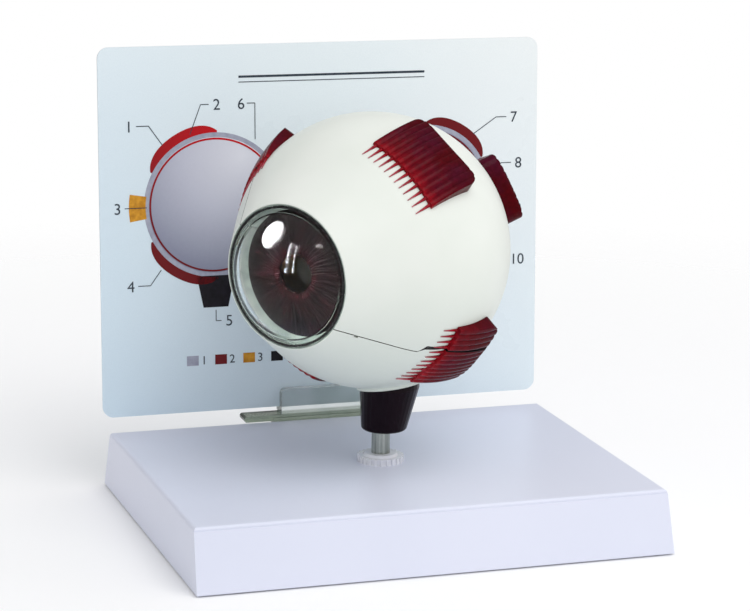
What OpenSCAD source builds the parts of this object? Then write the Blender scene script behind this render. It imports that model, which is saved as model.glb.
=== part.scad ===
// Eye anatomy model on a desk stand, with a key card standing behind it.
// Origin: centre of the base footprint on the table. +X runs along the front edge,
// +Y to the back and +Z up. All sizes are in millimetres.

/* [Base] */
// Length of the base along its front edge
base_l = 165.1; // [150:0.1:180]
// Depth of the base, front to back
base_d = 130; // [118:0.5:140]
// Height of the base top above the table
base_h = 20.9; // [18:0.1:26]
// How far the two end faces lean in from foot to top
end_lean = 0.6; // [0:0.1:4]
// How far the front and back faces lean in from foot to top
face_lean = 6.45; // [2:0.05:9]
// Rounding of the top edges
base_edge_r = 1.2; // [0.5:0.1:2.5]
// Wall of the moulded base
base_wall = 2.6; // [2:0.1:3.5]
// Gap between the base rim and the table
rim_gap = 0.4; // [0.2:0.1:1]
// Radius of each rubber foot
foot_r = 6; // [4:0.5:7]
// Thickness of each rubber foot
foot_t = 2.4; // [1.6:0.1:3.5]
// Distance from each foot's centre to the base edges
foot_in = 16; // [14:0.5:22]

/* [Rod] */
// Radius of the steel rod
rod_r = 3.175; // [2.5:0.005:4]
// Height of the rod's top end above the table
rod_top = 46.2; // [44:0.1:47]
// Radius of the bush's flange on the base top
collar_r = 8.1; // [7:0.1:10]
// Height of the bush's flange
collar_h = 3; // [2:0.1:3.6]
// Running clearance of the rod in its bush and in the post, on the radius
rod_fit = 0.06; // [0.02:0.01:0.1]
// Ribs round the bush's flange
collar_ribs = 24; // [12:1:30]

/* [Key card] */
// Width of the card
card_w = 165.1; // [150:0.1:180]
// Height of the card
card_h = 132; // [120:0.5:145]
// Thickness of the laminated card
card_t = 0.8; // [0.6:0.1:1.2]
// Corner radius of the card
card_corner_r = 4; // [2:0.5:8]
// Angle by which the card leans back
card_lean = 3; // [0:0.5:6]
// Sideways offset of the card from the middle of the base
card_x = -1.2; // [-3:0.1:3]
// Height of the card's foot above the base top
card_seat = 4.6; // [3.5:0.1:6]

/* [Card holder] */
// Length of the holder's foot along the base
holder_l = 62; // [50:1:80]
// Depth of the holder, front to back
holder_d = 6.5; // [5.5:0.1:8]
// Thickness of the holder's foot
holder_t = 2.2; // [1.6:0.1:3]
// Length of the clip that grips the card
clip_l = 34; // [26:1:44]
// Height of the clip above the holder's foot
clip_h = 9.4; // [7:0.1:12]
// Clearance of the card in the clip on each face
card_fit = 0.25; // [0.15:0.05:0.4]
// Radius of the holder's screws
screw_r = 1.4; // [1.2:0.1:1.6]

/* [Eye] */
// Outer radius of the eyeball
eye_r = 47.2; // [45:0.1:48]
// Height of the eyeball's centre above the table
eye_z = 94.6; // [94:0.1:98]
// Direction of the gaze, counted from +X
gaze_az = 216; // [180:1:250]
// Angle by which the gaze dips below level
gaze_dip = 1.55; // [0:0.05:4]
// Roll of the eyeball about its gaze, from upright towards its nose side
eye_roll = 38; // [30:1:44]
// Distance from the rod to the eyeball's centre along the gaze
eye_lead = 1; // [0:0.1:3]
// Distance from the rod to the eyeball's centre, away from the nose side
eye_side = 4.45; // [3:0.05:5]
// Thickness of the white outer shell
sclera_t = 3; // [2.6:0.1:3.4]
// Thickness of the dark middle layer
choroid_t = 1.1; // [0.9:0.1:1.3]
// Thickness of the inner layer
retina_t = 1.1; // [0.9:0.1:1.3]
// Gap left for glue between pieces of one half
glue = 0.1; // [0.05:0.01:0.15]
// Clearance between pieces that come apart
part_gap = 0.3; // [0.25:0.05:0.4]
// Height of the step in the parting line behind the front third
step_h = 2.4; // [1.5:0.1:3]
// Where the step lies along the gaze, from the centre
step_s = 18.5; // [16:0.5:20]

/* [Front of the eye] */
// Radius of the rim round the cornea
rim_r = 24.6; // [23.5:0.1:25.5]
// Distance of that rim from the eyeball's centre
rim_s = 47.9; // [47:0.1:49]
// Width of the white lip round the cornea
lip_w = 0.9; // [0.7:0.1:1.2]
// Width of the dark seal inside the lip
seal_w = 0.7; // [0.5:0.1:0.9]
// Outer radius of the cornea's curve
cornea_r = 30; // [28:0.5:36]
// Thickness of the cornea
cornea_t = 2.2; // [1.6:0.1:2.6]
// Depth of the cornea's skirt behind the rim
skirt_h = 3.2; // [2.8:0.1:3.6]
// Height of the dark seal
seal_h = 1.2; // [0.8:0.1:2]
// Distance of the iris' rim from the eyeball's centre
iris_s = 41.2; // [40:0.1:41.4]
// Rise of the iris from its rim to the pupil
iris_dome = 2.4; // [1:0.1:2.4]
// Outer radius of the iris
iris_r = 22.4; // [21.6:0.1:22.8]
// Thickness of the iris at its rim
iris_t = 1.5; // [1.2:0.1:1.8]
// Radius of the pupil
pupil_r = 6.2; // [5:0.1:8]
// Radius of the lens
lens_r = 17; // [16:0.1:17.5]
// Curve radius of the lens' front face
lens_front_r = 30; // [28:0.5:36]
// Curve radius of the lens' back face
lens_back_r = 21; // [20:0.5:24]
// Distance of the lens' edge from the eyeball's centre
lens_s = 30.4; // [30:0.1:30.6]
// Number of folds round the ciliary body
fold_count = 36; // [24:1:44]
// Where the retina's front edge lies
ora_s = 23.4; // [22:0.1:23.6]

/* [Optic nerve] */
// Radius of the nerve bundle
nerve_r = 6.9; // [6:0.1:7.2]
// Wall of the sheath round the nerve
sheath_t = 1.1; // [0.8:0.1:1.3]
// How far the nerve stands out behind the eyeball
nerve_out = 3.4; // [2:0.1:6]
// Radius of the nerve's head inside the eye
nerve_head_r = 4; // [3:0.1:4.5]
// Radius of each vessel in the nerve
vessel_r = 0.95; // [0.7:0.05:1.2]

/* [Muscles] */
// Width of the four straight muscles
rectus_w = 30; // [26:0.5:31]
// Width of the two side muscles
side_rectus_w = 28; // [26:0.5:30]
// Width of the two oblique muscles
oblique_w = 24; // [18:0.5:25]
// Thickness of a muscle at its tendon
tendon_t = 1.3; // [1:0.1:1.8]
// Thickness of the upper and lower straight muscles at their cut ends
belly_t = 4.6; // [3.5:0.1:5.5]
// Thickness of the two side muscles at their cut ends
side_belly_t = 5.4; // [4:0.1:6]
// Thickness of the oblique muscles at their cut ends
oblique_belly_t = 6.2; // [4.5:0.1:6.5]
// Number of ribs across a straight muscle
rectus_ribs = 12; // [10:1:13]
// Number of ribs across an oblique muscle
oblique_ribs = 10; // [8:1:11]
// Curve radius of each rib
rib_r = 2.1; // [1.6:0.05:2.4]
// Length of the tendon's fringe
fringe_l = 6.2; // [4:0.1:6.5]
// Radius of each tendon strand at its root
strand_r = 0.62; // [0.5:0.02:0.9]
// Slant of the inner side muscle's fringe across its width
side_slant = 9; // [0:1:10]
// Rounding of the cut end
cut_r = 2.6; // [1.5:0.1:3]

/* [Mounting post] */
// Radius of the post at its foot
post_foot_r = 8; // [7:0.1:9]
// Radius of the post where it meets the eyeball
post_head_r = 10.3; // [9.5:0.1:12]
// Height of the post's foot above the table
post_z = 32.4; // [30:0.1:34]
// Sideways distance of the post's foot from the rod
post_shift = 1.3; // [0:0.1:2]
// Sideways distance of the post's head from the rod
post_lean = 3.3; // [1:0.1:3.5]
// Rounding of the post's foot
post_foot_edge = 1.3; // [1:0.1:3]
// Distance of each post screw from the middle of the post's head
post_screw_in = 6.2; // [5.5:0.1:7]
// Width of the white lip round the post
post_lip = 1; // [0.6:0.1:1.6]

/* [Hidden] */
$fn = 96;
eps = 0.01;
far = 200;

// Stand
base_z0 = rim_gap;
boss_r = collar_r + 1.4;
barrel_r = rod_r + 2;
bush_bore_r = rod_r + rod_fit;
boss_z = 6.6;
washer_t = 0.8;
clip_t = 1;
groove_depth = 0.7;
rod_foot = boss_z - washer_t - clip_t - 2.2;
foot_x = base_l / 2 - foot_in;
foot_y = base_d / 2 - foot_in;
pad_r = foot_r + 2;
foot_recess = 1;
back_edge_y = base_d / 2 - face_lean;
face_angle = atan(face_lean / base_h);
rib_t = 2;
rib_drop = 3;

// Holder and card, in a frame at the back top edge of the base
holder_y = back_edge_y + 0.1;
slot_w = card_t + 2 * card_fit;
card_y = holder_y + holder_d / 2;
leg_l = 40;
leg_h = 12;
leg_t = 3;
screw_dx = 12;
screw_drop = 7;
screw_l = 7;
head_r = screw_r * 1.9;
head_t = 1.4;

// Eye: distances s run along the gaze, radii r across it
rod_to_eye = [eye_lead, -eye_side];
step_angle = asin(step_h / eye_r);
step_end = step_s + step_h;
front_r = eye_r + 0.02;
tangent_angle = atan2(rim_r, rim_s) + acos(front_r / norm([rim_r, rim_s]));
cone_s = front_r * cos(tangent_angle);
cone_r = front_r * sin(tangent_angle);
sclera_in = eye_r - sclera_t;
choroid_out = sclera_in - part_gap;
choroid_in = choroid_out - choroid_t;
retina_out = choroid_in - glue;
retina_in = retina_out - retina_t;
vitreous_r = retina_in - part_gap - glue;
rim_bore_r = rim_r - lip_w;
seal_out = rim_bore_r - part_gap;
seal_in = seal_out - seal_w;
cornea_edge_r = seal_in - glue / 2;
seat_s = rim_s - skirt_h - part_gap;
cornea_c = rim_s - sqrt(pow(cornea_r, 2) - pow(cornea_edge_r, 2));
ledge_s = iris_s + part_gap;
iris_bore_r = iris_r + part_gap;
ledge_r = iris_r - 1.4;
funnel_r = seal_in - 0.6;
iris_wall_s = iris_s - iris_t - 2.5;
lens_front_c = lens_s - sqrt(pow(lens_front_r, 2) - pow(lens_r, 2));
lens_back_c = lens_s + sqrt(pow(lens_back_r, 2) - pow(lens_r, 2));
ciliary_out = sclera_in - part_gap - 0.2;
ciliary_back = ora_s + 2 * part_gap;
ciliary_front = iris_s - iris_t - glue;
ciliary_step_s = iris_wall_s - part_gap;
vitreous_neck_r = lens_r - 0.4;
vitreous_front = lens_s - 2.6;
neck_r = nerve_r + sheath_t + part_gap + 1.2;
neck_bore_r = nerve_r + sheath_t + part_gap;
nerve_end = -(eye_r + nerve_out);

// Post, from the rod's axis
post_head = [0, post_lean];
post_top = eye_z - sqrt(pow(eye_r, 2) - pow(norm(post_head - rod_to_eye), 2));
socket_top = rod_top + 1.2;
lip_t = 1;

// ---- helpers ----

// Places children of the eye's own frame: X along the gaze, Z to the upper half's middle
module eye_frame() {
    gaze_frame()
        translate([eye_lead, -eye_side, eye_z])
            rotate([0, gaze_dip, 0])
                rotate([-eye_roll, 0, 0]) children();
}

// A level frame on the rod's axis, turned to the gaze
module gaze_frame() {
    rotate([0, 0, gaze_az]) children();
}

// Revolves an outline of radius and distance about the gaze
module turned() {
    rotate([0, 90, 0]) rotate_extrude() children();
}

module half_plane(s0 = -far, s1 = far) {
    translate([0, s0]) square([far, s1 - s0]);
}

// Half disc of radius r between two distances along the axis
module cap_2d(r, s0 = -far, s1 = far, at = 0) {
    intersection() {
        translate([0, at]) circle(r = r, $fn = 180);
        half_plane(s0, s1);
    }
}

// Everything below the stepped parting face, lifted by dz. In front of the step it is level;
// behind it the face rises evenly from the gaze line to each side.
module below_parting(dz = 0) {
    rise = far * tan(step_angle);
    intersection() {
        rotate([90, 0, 0]) linear_extrude(far, center = true)
            polygon([[-far, far + dz], [step_end - far, far + dz], [step_end, dz], [far, dz],
                [far, -far], [-far, -far]]);
        rotate([90, 0, 90]) linear_extrude(2 * far, center = true)
            polygon([[-far, rise + dz], [0, dz], [far, rise + dz], [far, -far], [-far, -far]]);
    }
}

module lower_half() {
    intersection() {
        children();
        below_parting();
    }
}

module upper_half() {
    difference() {
        children();
        below_parting(part_gap);
    }
}

// ---- stand ----

module base_profile(width, lean, inset) {
    w = width / 2 - inset;
    top = base_h - inset;
    r = base_edge_r;
    difference() {
        polygon([[-w, base_z0], [w, base_z0], [w - lean, top], [-w + lean, top]]);
        for (side = [-1, 1])
            if (inset == 0)
                scale([side, 1]) translate([w - lean, top]) difference() {
                    translate([-r, -r]) square([2 * r, 2 * r]);
                    translate([-r, -r]) circle(r = r);
                }
    }
}

// Solid of the base's outer faces, or of its hollow when inset by the wall
module base_solid(inset = 0) {
    intersection() {
        rotate([90, 0, 0]) linear_extrude(2 * base_d, center = true) base_profile(base_l, end_lean, inset);
        rotate([90, 0, 90]) linear_extrude(2 * base_l, center = true)
            base_profile(base_d, face_lean, inset);
    }
}

module base_hollow() {
    difference() {
        union() {
            base_solid(base_wall);
            translate([0, 0, base_z0])
                cube([base_l - 4 * base_wall, base_d - 2.6 * face_lean, 2], center = true);
        }
        // boss for the bush, foot pads and stiffening ribs stand inside the shell
        translate([0, 0, boss_z]) cylinder(r = boss_r, h = base_h);
        for (x = [-foot_x, foot_x], y = [-foot_y, foot_y])
            translate([x, y, base_z0]) cylinder(r = pad_r, h = base_h);
        for (x = [-foot_x, 0, foot_x])
            translate([x - rib_t / 2, -base_d / 2, base_z0 + rib_drop]) cube([rib_t, base_d, base_h]);
        for (y = [-foot_y, 0, foot_y])
            translate([-base_l / 2, y - rib_t / 2, base_z0 + rib_drop]) cube([base_l, rib_t, base_h]);
    }
}

module base_shell() {
    color("#DADEEC") difference() {
        base_solid();
        base_hollow();
        translate([0, 0, -eps]) cylinder(r = barrel_r + glue, h = base_h + 1);
        translate([0, 0, -eps]) cylinder(r = boss_r + 1, h = boss_z + eps);
        for (x = [-foot_x, foot_x], y = [-foot_y, foot_y])
            translate([x, y, -eps]) cylinder(r = foot_r + glue, h = base_z0 + foot_recess + eps);
        for (x = [-screw_dx, screw_dx])
            holder_screw_frame(x) translate([0, 0, -screw_l]) cylinder(r = screw_r + glue, h = screw_l + 4);
    }
}

module rubber_feet() {
    color("#2A2A2C")
        for (x = [-foot_x, foot_x], y = [-foot_y, foot_y])
            translate([x, y, 0]) cylinder(r = foot_r, h = base_z0 + foot_recess);
}

module rod_bush() {
    color("#D8DDF0") difference() {
        union() {
            translate([0, 0, base_h]) cylinder(r = collar_r - 0.6, h = collar_h - 0.8);
            translate([0, 0, base_h]) cylinder(r1 = collar_r - 0.2, r2 = collar_r - 2.6, h = collar_h);
            translate([0, 0, boss_z]) cylinder(r = barrel_r, h = base_h - boss_z + eps);
            for (i = [0 : collar_ribs - 1])
                rotate([0, 0, i * 360 / collar_ribs])
                    translate([collar_r - 1.6, -0.45, base_h]) cube([1.6, 0.9, collar_h - 0.8]);
        }
        translate([0, 0, boss_z - 1]) cylinder(r = bush_bore_r, h = base_h + collar_h);
    }
}

module support_rod() {
    color("#B9BDB6") difference() {
        union() {
            translate([0, 0, rod_foot]) cylinder(r = rod_r, h = rod_top - rod_foot - 0.8);
            translate([0, 0, rod_top - 0.8]) cylinder(r1 = rod_r, r2 = rod_r - 0.8, h = 0.8);
        }
        translate([0, 0, boss_z - washer_t - clip_t]) difference() {
            cylinder(r = rod_r + 1, h = clip_t);
            cylinder(r = rod_r - groove_depth, h = clip_t);
        }
    }
}

module thrust_washer() {
    color("#C9CCC8") translate([0, 0, boss_z - washer_t]) difference() {
        cylinder(r = boss_r - 1.5, h = washer_t - rod_fit);
        translate([0, 0, -1]) cylinder(r = rod_r + glue, h = washer_t + 2);
    }
}

// Open ring that snaps into the rod's groove below the washer
module retaining_clip() {
    color("#3A3C3E") translate([0, 0, boss_z - washer_t - clip_t + rod_fit / 2]) difference() {
        cylinder(r = rod_r + 2.2, h = clip_t - rod_fit);
        translate([0, 0, -1]) cylinder(r = rod_r - groove_depth + rod_fit, h = clip_t + 2);
        translate([0, -1.3, -1]) cube([rod_r + 4, 2.6, clip_t + 2]);
    }
}

// ---- card and holder ----

// Frame on the base's sloping back face, Z pointing out of the face
module holder_screw_frame(x) {
    translate([x, holder_y, base_h]) rotate([face_angle, 0, 0])
        translate([0, 0, -screw_drop]) rotate([-90, 0, 0]) children();
}

module card_frame() {
    translate([card_x, card_y, base_h + card_seat]) rotate([-card_lean, 0, 0]) children();
}

module rounded_rect(w, h, r) {
    union() {
        translate([-w / 2 + r, 0]) square([w - 2 * r, h]);
        translate([-w / 2, r]) square([w, h - 2 * r]);
        for (x = [-w / 2 + r, w / 2 - r], y = [r, h - r])
            translate([x, y]) circle(r = r);
    }
}

module card_holder() {
    color("#9FB0A4", 0.6) difference() {
        union() {
            // foot strip behind the base's back edge
            translate([card_x, holder_y + holder_d, base_h]) rotate([90, 0, 0])
                linear_extrude(holder_d) rounded_rect(holder_l, holder_t, holder_t * 0.45);
            // clip that grips the card
            translate([card_x, holder_y + holder_d, base_h + holder_t / 2]) rotate([90, 0, 0])
                linear_extrude(holder_d) rounded_rect(clip_l, clip_h + holder_t / 2, 2);
            // leg that lies on the base's sloping back face
            translate([card_x - leg_l / 2, holder_y, base_h]) rotate([face_angle, 0, 0])
                translate([0, 0, -leg_h]) cube([leg_l, leg_t, leg_h + 1.2]);
        }
        card_frame() translate([-far / 2, -slot_w / 2, 0]) cube([far, slot_w, far]);
        // relief behind the card, so that only the two jaws are left
        card_frame() translate([-far / 2, -slot_w / 2, 1.4]) cube([far, slot_w + 1.4, clip_h]);
        for (x = [-screw_dx, screw_dx])
            holder_screw_frame(x) cylinder(r = screw_r + glue, h = leg_t + 4);
    }
}

module holder_screws() {
    color("#B9BDB6")
        for (x = [-screw_dx, screw_dx])
            holder_screw_frame(x) {
                translate([0, 0, -screw_l + 1]) cylinder(r = screw_r, h = screw_l - 1 + leg_t);
                translate([0, 0, leg_t + glue]) difference() {
                    cylinder(r = head_r, h = head_t);
                    for (a = [0, 90])
                        rotate([0, 0, a]) translate([-head_r * 0.6, -0.3, head_t - 0.7])
                            cube([head_r * 1.2, 0.6, 1]);
                }
                translate([0, 0, leg_t - eps]) cylinder(r = screw_r, h = glue + 2 * eps);
            }
}

module key_card() {
    color("#C9D7DF") card_frame()
        translate([0, card_t / 2, 0]) rotate([90, 0, 0])
            linear_extrude(card_t) rounded_rect(card_w, card_h, card_corner_r);
}

// ---- post ----

module post_solid(grow = 0) {
    gaze_frame() hull() {
        translate([0, post_shift, post_z]) rotate_extrude($fn = 32) difference() {
            square([post_foot_r + grow, 4]);
            translate([post_foot_r + grow - post_foot_edge, 0]) difference() {
                translate([0, -1]) square(post_foot_edge + 1);
                translate([0, post_foot_edge]) circle(r = post_foot_edge, $fn = 32);
            }
        }
        translate([post_head[0], post_head[1], post_top]) cylinder(r = post_head_r + grow, h = 3, $fn = 32);
    }
}

module mounting_post() {
    color("#12060C") difference() {
        post_solid();
        eye_frame() sphere(r = eye_r + lip_t + glue, $fn = 180);
        translate([0, 0, post_z - 1]) cylinder(r = bush_bore_r, h = socket_top - post_z + 1);
        for (side = [-1, 1])
            post_screw_frame(side) translate([0, 0, -screw_l - 1]) cylinder(r = screw_r, h = 2 * screw_l);
    }
}

// Frame of a screw that holds the lower half to the post, Z pointing into the eye
module post_screw_frame(side) {
    gaze_frame() translate([post_head[0] + side * post_screw_in, post_head[1], post_top]) children();
}

module post_screws() {
    color("#B9BDB6") intersection() {
        for (side = [-1, 1])
            post_screw_frame(side) {
                translate([0, 0, -screw_l]) cylinder(r = screw_r - glue, h = screw_l + 2.4);
                translate([0, 0, 1.6]) cylinder(r = head_r, h = 2.4);
            }
        union() {
            eye_frame() difference() {
                sphere(r = far / 2);
                sphere(r = sclera_in + glue, $fn = 180);
            }
        }
    }
}

// ---- eyeball shells ----

module sclera_outer() {
    union() {
        turned() union() {
            cap_2d(eye_r, -far, step_s);
            cap_2d(front_r, step_s);
            polygon([[0, cone_s], [cone_r, cone_s], [rim_r, rim_s - 0.3], [rim_r - 0.3, rim_s],
                [0, rim_s]]);
            // collar round the optic nerve
            polygon([[0, nerve_end + 1], [neck_r - 0.8, nerve_end + 1], [neck_r, nerve_end + 1.8],
                [neck_r + 0.6, -eye_r], [neck_r + 4, -eye_r + 3.6], [0, -eye_r + 6]]);
        }
    }
}

module sclera_inner() {
    turned() union() {
        cap_2d(sclera_in, -far, iris_wall_s);
        polygon([[0, iris_wall_s - 1], [iris_bore_r, iris_wall_s - 1], [iris_bore_r, ledge_s],
            [ledge_r, ledge_s],
            [funnel_r, seat_s], [rim_bore_r, seat_s], [rim_bore_r, rim_s + 1], [0, rim_s + 1]]);
        translate([0, -far]) square([neck_bore_r, far]);
    }
}

// Pin places in the parting face: distance along the gaze, side, and height
pin_ring = eye_r - sclera_t / 2;
function pin_spots() = [for (a = [58, 122], side = [-1, 1])
    [pin_ring * cos(a), side * pin_ring * sin(a), a < 90 ? 0 : pin_ring * sin(a) * tan(step_angle)]];
pin_r = 0.9;
pin_in = 3;
pin_out = 2.4;

module sclera_wall() {
    difference() {
        sclera_outer();
        sclera_inner();
    }
}

module lower_sclera() {
    color("#E9ECE6") difference() {
        union() {
            eye_frame() lower_half() sclera_wall();
            post_lip_ring();
        }
        eye_frame() for (p = pin_spots())
            translate([p[0], p[1], p[2] - pin_in]) cylinder(r = pin_r + glue / 2, h = pin_in + 1);
        eye_frame() pry_notch();
        for (side = [-1, 1])
            post_screw_frame(side) {
                translate([0, 0, -4]) cylinder(r = screw_r, h = 8);
                translate([0, 0, 1.6 - glue]) cylinder(r = head_r + glue, h = 8);
            }
    }
}

// Small notch in the parting face's outer edge, for prying the halves apart
module pry_notch() {
    along = atan2(cone_r - rim_r, rim_s - cone_s);
    translate([(rim_s * 2 + cone_s) / 3, (rim_r * 2 + cone_r) / 3, -0.7]) rotate([0, 0, 180 - along])
        translate([-0.8, -1, 0]) cube([1.6, 3, 2]);
}

// Raised white ring on which the post seats
module post_lip_ring() {
    intersection() {
        gaze_frame() translate([post_head[0], post_head[1], post_z])
            cylinder(r = post_head_r + post_lip, h = eye_z - post_z);
        eye_frame() difference() {
            sphere(r = eye_r + lip_t, $fn = 180);
            sphere(r = eye_r - 1, $fn = 180);
        }
    }
}

module upper_sclera() {
    color("#F0F2EE") eye_frame() difference() {
        upper_half() sclera_wall();
        for (p = pin_spots())
            translate([p[0], p[1], p[2] - 1]) cylinder(r = pin_r + 0.08, h = pin_out + 1.4);
    }
}

// Half of a thin inner layer: the lower one ends level with the gaze, the upper one above it
module liner(outer, inner, upper) {
    hole = nerve_head_r + part_gap;
    intersection() {
        turned() difference() {
            cap_2d(outer, -far, ora_s);
            cap_2d(inner);
            translate([0, -far]) square([hole, far]);
        }
        translate([-far, -far, upper ? part_gap : -2 * far]) cube(2 * far);
    }
}

module lower_choroid() {
    color("#5B2A1E") eye_frame() liner(choroid_out, choroid_in, false);
}

module lower_retina() {
    color("#D9793A") eye_frame() liner(retina_out, retina_in, false);
}

module upper_choroid() {
    color("#5B2A1E") eye_frame() liner(choroid_out, choroid_in, true);
}

module upper_retina() {
    color("#D9793A") eye_frame() liner(retina_out, retina_in, true);
}

module locating_pins() {
    color("#C9CCC8") eye_frame() for (p = pin_spots())
        translate([p[0], p[1], p[2] - pin_in + glue]) {
            cylinder(r = pin_r, h = pin_in + pin_out - 0.6 - glue);
            translate([0, 0, pin_in + pin_out - 0.6 - glue])
                cylinder(r1 = pin_r, r2 = pin_r - 0.4, h = 0.6);
        }
}

// ---- optic nerve ----

module optic_nerve() {
    color("#C9821F") eye_frame() difference() {
        turned() polygon([[0, nerve_end], [nerve_r - 0.3, nerve_end], [nerve_r, nerve_end + 0.3],
            [nerve_r, -sclera_in], [nerve_head_r, -choroid_out], [nerve_head_r, -retina_in - 0.3],
            [nerve_head_r - 0.5, -retina_in], [0, -retina_in]]);
        for (side = [-1, 1])
            translate([-far, 0, side * (vessel_r + 0.2)]) rotate([0, 90, 0])
                cylinder(r = vessel_r + glue, h = 2 * far);
    }
}

module nerve_sheath() {
    color("#1F1A1C") eye_frame() turned() difference() {
        translate([nerve_r + glue, nerve_end + 0.3]) square([sheath_t - glue, nerve_out + 2.6]);
        translate([nerve_r + sheath_t, nerve_end + 0.3]) circle(r = 0.4, $fn = 24);
    }
}

module nerve_vessels() {
    color("#5A2A8C") eye_frame() for (side = [-1, 1])
        translate([nerve_end - 0.2, 0, side * (vessel_r + 0.2)]) rotate([0, 90, 0])
            cylinder(r = vessel_r, h = -nerve_end - retina_in + 0.3);
}

// ---- muscles ----

// Ribbed strap, its ribs running along X, fringe at +X and cut end at -X. The slant turns
// the fringe's line.
module muscle(width, span, ribs, belly, slant = 0) {
    half = eye_r * sin(span / 2);
    shift = (belly - tendon_t) / (2 * sin(span / 2));
    top_r = norm([eye_r + (belly + tendon_t) / 2, shift]);
    end_z = sqrt(pow(top_r, 2) - pow(half - shift, 2));
    difference() {
        union() {
            intersection() {
                translate([-shift, 0, 0]) rotate([90, 0, 0]) rotate([0, 0, 90 - span])
                    rotate_extrude(angle = 2 * span, $fn = 180) rib_section(width, top_r, ribs);
                strap_plan(width, half, slant);
            }
            for (i = [0 : ribs - 1])
                fringe_spike(rib_y(i, width, ribs), half, rib_y(i, width, ribs) * tan(slant));
        }
        sphere(r = eye_r + glue, $fn = 180);
        // round over the cut end
        translate([-half, 0, end_z - cut_r]) difference() {
            translate([-1, -width, 0]) cube([cut_r + 1, 2 * width, belly + 4]);
            translate([cut_r, 0, 0]) rotate([90, 0, 0]) cylinder(r = cut_r, h = 3 * width, center = true);
        }
    }
}

function rib_y(i, width, ribs) = (i - (ribs - 1) / 2) * width / ribs;

// Cross-section of the strap: radius and sideways place, one round for each rib
module rib_section(width, top_r, ribs) {
    intersection() {
        union() {
            circle(r = top_r - 1, $fn = 180);
            for (i = [0 : ribs - 1])
                translate([sqrt(pow(top_r - rib_r, 2) - pow(rib_y(i, width, ribs), 2)),
                    rib_y(i, width, ribs)])
                    circle(r = rib_r, $fn = 32);
        }
        translate([eye_r * 0.7, -width / 2 - 0.4]) square([eye_r, width + 0.8]);
    }
}

// Plan of the strap seen from outside, with the cut end's corners rounded
module strap_plan(width, half, slant) {
    r = cut_r + 1;
    y = width / 2 - r;
    linear_extrude(2 * eye_r) union() {
        polygon([[half - width / 2 * tan(slant), -width / 2], [half + width / 2 * tan(slant), width / 2],
            [-half + r, width / 2], [-half, y], [-half, -y], [-half + r, -width / 2]]);
        for (side = [-1, 1])
            translate([-half + r, side * y]) circle(r = r);
    }
}

// One tapered tendon strand lying on the eyeball in front of the strap. Where the slant moves
// its tip forward its root stays behind, in the strap's thicker part.
module fringe_spike(y, half, forward) {
    rho = sqrt(pow(eye_r, 2) - pow(y, 2));
    more = max(0, forward);
    length = fringe_l + more;
    middle = asin((half + forward - more - 0.5) / rho) + (length / 2) / rho * 180 / PI;
    translate([0, y, 0]) rotate([0, middle, 0]) translate([-length / 2, 0, rho + 0.15]) rotate([0, 90, 0])
        cylinder(r1 = strand_r, r2 = 0.15, h = length, $fn = 24);
}

// Puts a muscle at an angle from the gaze, round the gaze and twisted on the spot
module on_globe(from_gaze, round_gaze, twist = 0) {
    rotate([-round_gaze, 0, 0]) rotate([0, 90 - from_gaze, 0]) rotate([0, 0, twist]) children();
}

module medial_rectus() {
    on_globe(88.5, 92.3, 4) muscle(side_rectus_w, 25, rectus_ribs, side_belly_t, side_slant);
}

module lateral_rectus() {
    on_globe(79, -95.5, -10) muscle(side_rectus_w, 25, rectus_ribs, side_belly_t);
}

module superior_rectus() {
    color("#6B0C16") eye_frame() on_globe(78.6, 0.9) muscle(rectus_w, 25.8, rectus_ribs, belly_t);
}

module superior_oblique() {
    color("#6B0C16") eye_frame() on_globe(140, 17, -168)
        muscle(oblique_w, 27, oblique_ribs, oblique_belly_t);
}

module upper_medial_rectus() {
    color("#6B0C16") eye_frame() upper_half() medial_rectus();
}

module upper_lateral_rectus() {
    color("#6B0C16") eye_frame() upper_half() lateral_rectus();
}

module lower_medial_rectus() {
    color("#6B0C16") eye_frame() lower_half() medial_rectus();
}

module lower_lateral_rectus() {
    color("#6B0C16") eye_frame() lower_half() lateral_rectus();
}

module inferior_rectus() {
    color("#6B0C16") eye_frame() on_globe(82, 177) muscle(rectus_w, 25.8, rectus_ribs, belly_t);
}

module inferior_oblique() {
    color("#6B0C16") eye_frame() on_globe(128, -126, 160)
        muscle(oblique_w, 27, oblique_ribs, oblique_belly_t);
}

// ---- inside the eye ----

module iris() {
    top = iris_s + iris_dome;
    color("#3A1218") eye_frame() turned() polygon([[pupil_r, top - 0.9], [pupil_r + 0.5, top - 0.25],
        [pupil_r + 2.2, top], [pupil_r + 4, top - 0.45], [iris_r - 4, iris_s + 0.4],
        [iris_r - 1.6, iris_s], [iris_r, iris_s], [iris_r, iris_s - iris_t], [iris_r - 3, iris_s - iris_t],
        [pupil_r + 1.2, top - iris_t]]);
}

module ciliary_body() {
    fold_tilt = atan2(lens_s - 1.8 - ciliary_back, 31.5 - lens_r - 2.2);
    color("#7A3B22") eye_frame() difference() {
        turned() difference() {
            union() {
                cap_2d(ciliary_out, ciliary_back, ciliary_step_s);
                translate([0, ciliary_back]) square([iris_r - 0.4, ciliary_front - ciliary_back]);
            }
            polygon([[0, 0], [30, ciliary_back - 1], [31.5, ciliary_back], [lens_r + 2.2, lens_s - 1.8],
                [lens_r + glue, lens_s - 1.4], [lens_r + glue, lens_s + 1], [lens_r + 1, lens_s + 2.5],
                [lens_r + 1, ciliary_front + 1], [0, ciliary_front + 1]]);
        }
        for (i = [0 : fold_count - 1])
            rotate([(i + 0.5) * 360 / fold_count, 0, 0])
                translate([lens_s - 1.4, 0, lens_r + 1]) rotate([0, -fold_tilt, 0])
                    cylinder(r1 = 0.7, r2 = 2, h = 17, $fn = 24);
    }
}

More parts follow.
